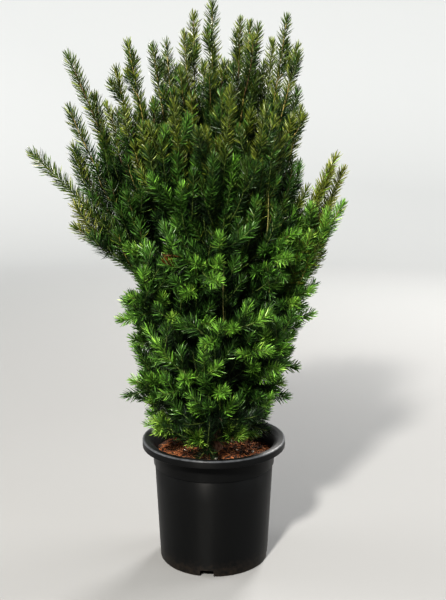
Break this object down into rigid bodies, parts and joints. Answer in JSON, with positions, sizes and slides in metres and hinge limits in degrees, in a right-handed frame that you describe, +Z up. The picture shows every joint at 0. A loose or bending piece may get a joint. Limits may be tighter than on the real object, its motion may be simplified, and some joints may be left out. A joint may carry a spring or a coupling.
{
  "type": "potted hillii yew",
  "caption": "Potted hillii yew: an upright evergreen shrub of many needled leaders over a dense skirt of side sprays, in a round satin black nursery pot.",
  "frame": {"origin": "middle of the pot's flat underside, on the surface that it stands on", "axes": "+Z up along the pot's axis, +X to the plant's right as seen from the front, front facing -Y"},
  "size_m": [0.6148, 0.451, 1.078],
  "materials": {
    "pot": "satin black moulded polypropylene, rubbed and dusty low down",
    "soil": "rough, dry bark and coir potting mix",
    "bark": "thin scaly red-brown bark",
    "bough": "smooth young bark, olive to yellow-brown",
    "old_needles": "waxy dark olive-green needles",
    "new_needles": "soft bright green needles of this year's growth"
  },
  "bodies": {
    "root": {"bough_back": "bough", "bough_back_left": "bough", "bough_back_right": "bough", "bough_front": "bough", "bough_front_left": "bough", "bough_front_right": "bough", "bough_left_a": "bough", "bough_left_arm": "bough", "bough_left_b": "bough", "bough_left_c": "bough", "bough_left_edge": "bough", "bough_right_a": "bough", "bough_right_arm": "bough", "bough_right_b": "bough", "bough_right_shoulder": "bough", "leader_back": "old_needles", "leader_back_left": "old_needles", "leader_back_right": "old_needles", "leader_front": "old_needles", "leader_front_left": "old_needles", "leader_front_right": "old_needles", "leader_left_a": "old_needles", "leader_left_arm": "old_needles", "leader_left_b": "old_needles", "leader_left_c": "old_needles", "leader_left_edge": "old_needles", "leader_right_a": "old_needles", "leader_right_arm": "old_needles", "leader_right_b": "old_needles", "leader_right_shoulder": "old_needles", "leader_top": "old_needles", "low_1": "new_needles", "low_2": "new_needles", "low_3": "new_needles", "low_4": "new_needles", "low_5": "new_needles", "middle_1": "new_needles", "middle_2": "new_needles", "middle_3": "new_needles", "middle_4": "new_needles", "middle_5": "new_needles", "middle_6": "new_needles", "pot": "pot", "skirt_1": "new_needles", "skirt_2": "new_needles", "skirt_3": "new_needles", "skirt_4": "new_needles", "soil": "soil", "trunk": "bark", "upper_1": "new_needles", "upper_2": "new_needles", "upper_3": "new_needles", "upper_4": "new_needles", "upper_5": "new_needles", "waist_1": "new_needles", "waist_2": "new_needles", "waist_3": "new_needles", "waist_4": "new_needles", "waist_5": "new_needles", "waist_6": "new_needles"}
  },
  "joints": []
}
